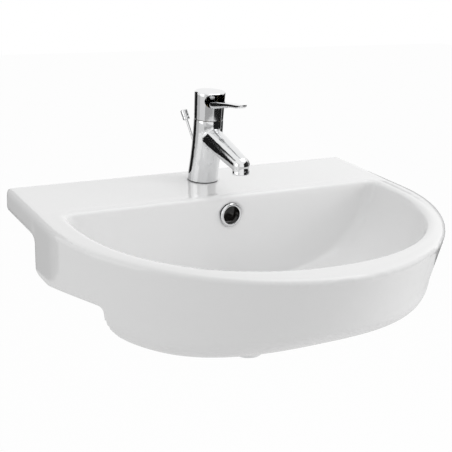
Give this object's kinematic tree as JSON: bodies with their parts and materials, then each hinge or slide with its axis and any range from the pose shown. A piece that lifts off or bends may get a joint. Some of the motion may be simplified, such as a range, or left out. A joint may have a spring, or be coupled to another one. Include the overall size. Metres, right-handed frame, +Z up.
{
  "type": "semi recessed basin",
  "caption": "Semi recessed wash basin with a bowed front, rear tap deck, single lever mixer, pop-up waste and overflow.",
  "frame": {"origin": "middle of the rear face against the wall, level with the worktop that the deck rests on", "axes": "+Z up, +Y into the wall, -Y towards the user, +X to the user's right when facing the wall"},
  "size_m": [0.55, 0.436, 0.3351],
  "materials": {
    "glazed_ceramic": "gloss white glaze",
    "chrome_plate": "polished chrome plate",
    "brass_parts": "machined",
    "stainless_steel": "satin",
    "grey_plastic": "moulded",
    "black_rubber": "moulded",
    "disc_ceramic": "lapped"
  },
  "bodies": {
    "basin": {"basin_shell": "glazed_ceramic", "overflow_ring": "chrome_plate", "tap_body": "chrome_plate", "aerator_housing": "chrome_plate", "aerator_insert": "grey_plastic", "aerator_washer": "black_rubber", "cartridge_seals": "black_rubber", "cartridge_body": "grey_plastic", "fixed_disc": "disc_ceramic", "cartridge_nut": "brass_parts", "tap_base_seal": "black_rubber", "fixing_stud": "stainless_steel", "horseshoe_gasket": "black_rubber", "horseshoe_washer": "stainless_steel", "fixing_nut": "brass_parts", "pivot_seal": "black_rubber", "pivot_nut": "chrome_plate", "waste_flange": "chrome_plate", "flange_seal": "black_rubber", "lower_seal": "black_rubber", "waste_backnut": "chrome_plate", "waste_body": "chrome_plate"},
    "cap": {"handle_cap": "chrome_plate"},
    "disc": {"moving_disc": "disc_ceramic"},
    "lever": {"handle_lever": "chrome_plate", "cartridge_spindle": "brass_parts", "lever_screw": "stainless_steel"},
    "lift": {"lift_rod": "chrome_plate", "lift_knob": "chrome_plate", "rod_clamp": "stainless_steel", "clamp_screw": "stainless_steel"},
    "pivot": {"pivot_rod": "stainless_steel"},
    "plug": {"pop_up_plug": "chrome_plate", "plug_seal": "black_rubber"}
  },
  "joints": [
    {"name": "handle_turn", "type": "hinge", "parent": "basin", "child": "cap", "pos_m": [0, -0.058, 0.124], "axis": [0, 0, 1], "range_deg": [-45, 45]},
    {"name": "lever_lift", "type": "hinge", "parent": "cap", "child": "lever", "pos_m": [0, -0.058, 0.118], "axis": [-1, 0, 0], "range_deg": [0, 12]},
    {"name": "disc_slide", "type": "slide", "parent": "cap", "child": "disc", "axis": [0, -1, 0], "range_m": [0, 0.0027]},
    {"name": "rod_slide", "type": "slide", "parent": "basin", "child": "lift", "axis": [0, 0, 1], "range_m": [0, 0.027]},
    {"name": "pivot_turn", "type": "hinge", "parent": "basin", "child": "pivot", "pos_m": [0, -0.173, -0.147], "axis": [1, 0, 0], "range_deg": [0, 12.1]},
    {"name": "plug_slide", "type": "slide", "parent": "basin", "child": "plug", "axis": [0, 0, 1], "range_m": [-0.0063, 0]}
  ],
  "couplings": [
    {"joint": "disc_slide", "follows": "lever_lift", "m_per_rad": 0.0125},
    {"joint": "pivot_turn", "follows": "rod_slide", "rad_per_m": 7.745},
    {"joint": "plug_slide", "follows": "rod_slide", "ratio": -0.2296}
  ]
}
